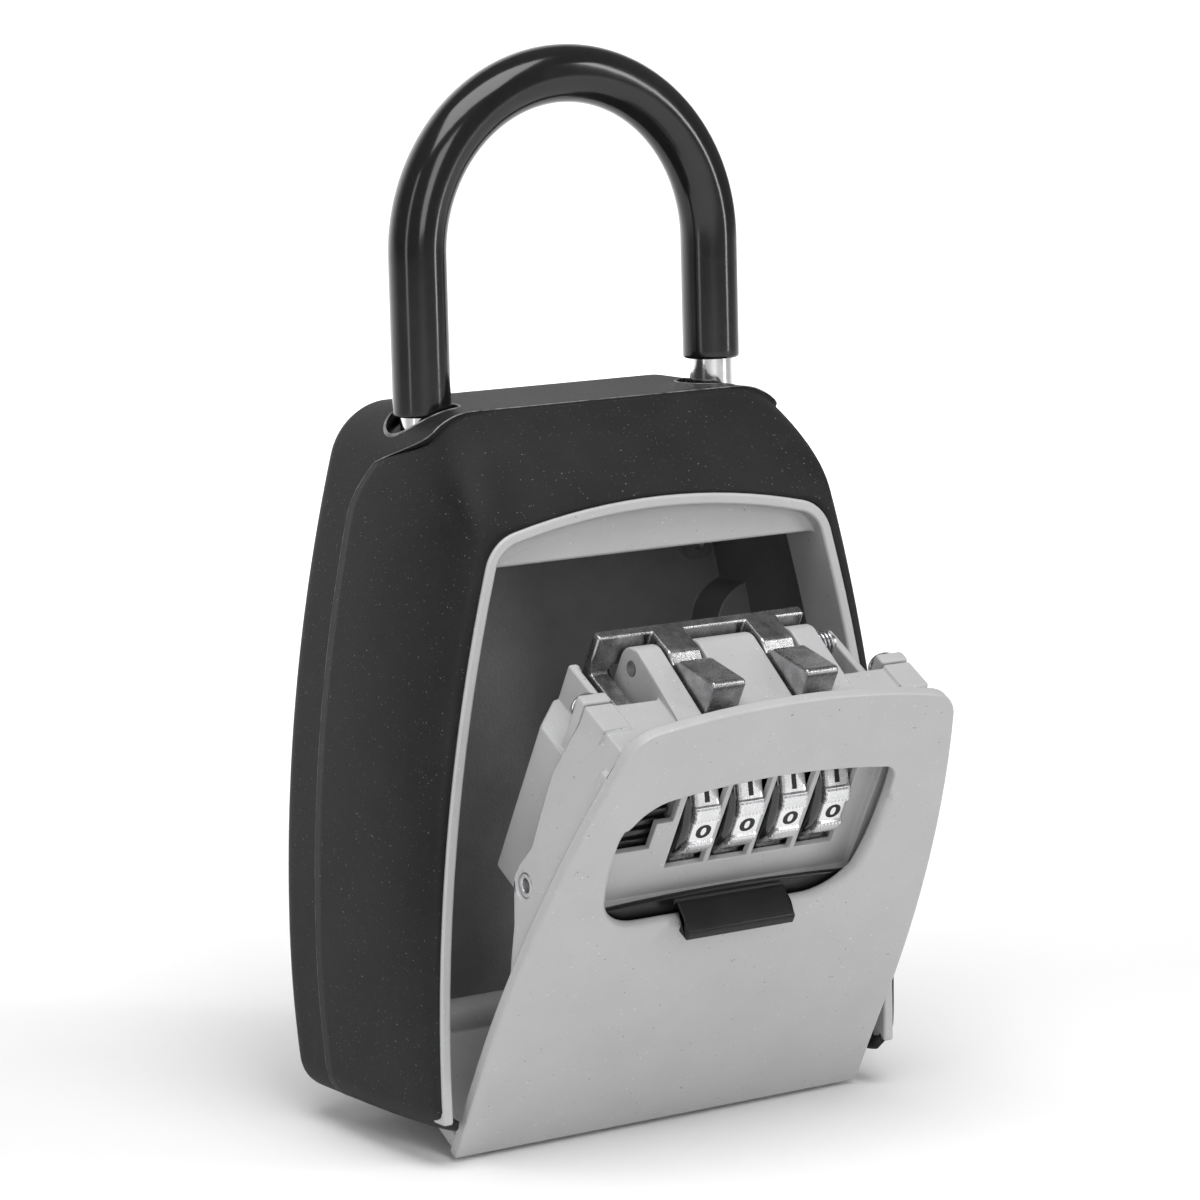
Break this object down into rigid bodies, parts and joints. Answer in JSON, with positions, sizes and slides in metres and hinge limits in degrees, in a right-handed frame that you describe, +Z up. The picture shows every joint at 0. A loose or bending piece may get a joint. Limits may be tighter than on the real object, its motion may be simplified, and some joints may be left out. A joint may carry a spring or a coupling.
{
  "type": "key lock box",
  "caption": "Portable key lock box that hangs by its shackle, with a hinged door that carries number dials, a release slider and a window shutter.",
  "frame": {"origin": "inside of the shackle's crown, at the sleeve's lowest point there, where the box hangs", "axes": "+X right seen from the front, +Y to the back, +Z up; the door opens towards -Y"},
  "size_m": [0.084, 0.0741, 0.155],
  "materials": {
    "soft_black": "soft-touch, fine grain",
    "grey_cast": "light grey paint on zinc casting, satin",
    "dark_cast": "dark textured paint on zinc casting",
    "steel": "zinc-plated steel",
    "chrome": "bright chrome plate",
    "vinyl": "gloss black vinyl",
    "spring_steel": "spring steel",
    "gloss_black": "gloss black moulding",
    "dark_steel": "polished dark nickel",
    "dial_black": "gloss black moulding"
  },
  "bodies": {
    "housing": {"front_cover": "soft_black", "rear_cover": "soft_black", "front_frame": "grey_cast", "inner_housing": "dark_cast", "hinge_pin": "steel", "housing_screws": "steel"},
    "shackle_bow": {"shackle": "chrome", "shackle_sleeve": "vinyl", "stop_ring": "spring_steel"},
    "latch": {"shackle_latch": "steel"},
    "door": {"door_panel": "grey_cast", "dial_carrier": "grey_cast", "lock_cover": "grey_cast", "cover_screws": "chrome", "side_bush": "steel", "dial_shaft": "steel", "detent_spring": "spring_steel", "fork_pin": "chrome", "fork_spring": "spring_steel"},
    "slider": {"release_slider": "gloss_black"},
    "fork": {"latch_fork": "dark_steel"},
    "window_shutter": {"shutter": "gloss_black"},
    "reset": {"reset_lever": "dark_steel"},
    "dial_1": {"dial_ring_1": "chrome", "dial_core_1": "dial_black"},
    "dial_2": {"dial_ring_2": "chrome", "dial_core_2": "dial_black"},
    "dial_3": {"dial_ring_3": "chrome", "dial_core_3": "dial_black"},
    "dial_4": {"dial_ring_4": "chrome", "dial_core_4": "dial_black"}
  },
  "joints": [
    {"name": "door_hinge", "type": "hinge", "parent": "housing", "child": "door", "pos_m": [0, 0.0013, -0.1326], "axis": [1, 0, 0], "range_deg": [-30, 50]},
    {"name": "shackle_lift", "type": "slide", "parent": "housing", "child": "shackle_bow", "axis": [0, 0, 1], "range_m": [0, 0.011]},
    {"name": "latch_slide", "type": "slide", "parent": "housing", "child": "latch", "axis": [-1, 0, 0], "range_m": [-0.003, 0]},
    {"name": "slider_press", "type": "slide", "parent": "door", "child": "slider", "axis": [0, 0.5, -0.866], "range_m": [0, 0.003], "stiffness_N_per_m": 250, "springref_m": -0.003},
    {"name": "fork_pivot", "type": "hinge", "parent": "door", "child": "fork", "pos_m": [0, -0.03761, -0.0762], "axis": [1, 0, 0], "range_deg": [0, 22]},
    {"name": "shutter_slide", "type": "slide", "parent": "door", "child": "window_shutter", "axis": [0, -0.5, 0.866], "range_m": [0, 0.0218]},
    {"name": "reset_slide", "type": "slide", "parent": "door", "child": "reset", "axis": [1, 0, 0], "range_m": [0, 0.004]},
    {"name": "dial_1_turn", "type": "hinge", "parent": "door", "child": "dial_1", "pos_m": [-0.0076, -0.03414, -0.09521], "axis": [1, 0, 0], "continuous": true},
    {"name": "dial_2_turn", "type": "hinge", "parent": "door", "child": "dial_2", "pos_m": [-0.0002, -0.03414, -0.09521], "axis": [1, 0, 0], "continuous": true},
    {"name": "dial_3_turn", "type": "hinge", "parent": "door", "child": "dial_3", "pos_m": [0.0072, -0.03414, -0.09521], "axis": [1, 0, 0], "continuous": true},
    {"name": "dial_4_turn", "type": "hinge", "parent": "door", "child": "dial_4", "pos_m": [0.0146, -0.03414, -0.09521], "axis": [1, 0, 0], "continuous": true}
  ],
  "couplings": [
    {"joint": "fork_pivot", "follows": "slider_press", "rad_per_m": 127.9}
  ]
}
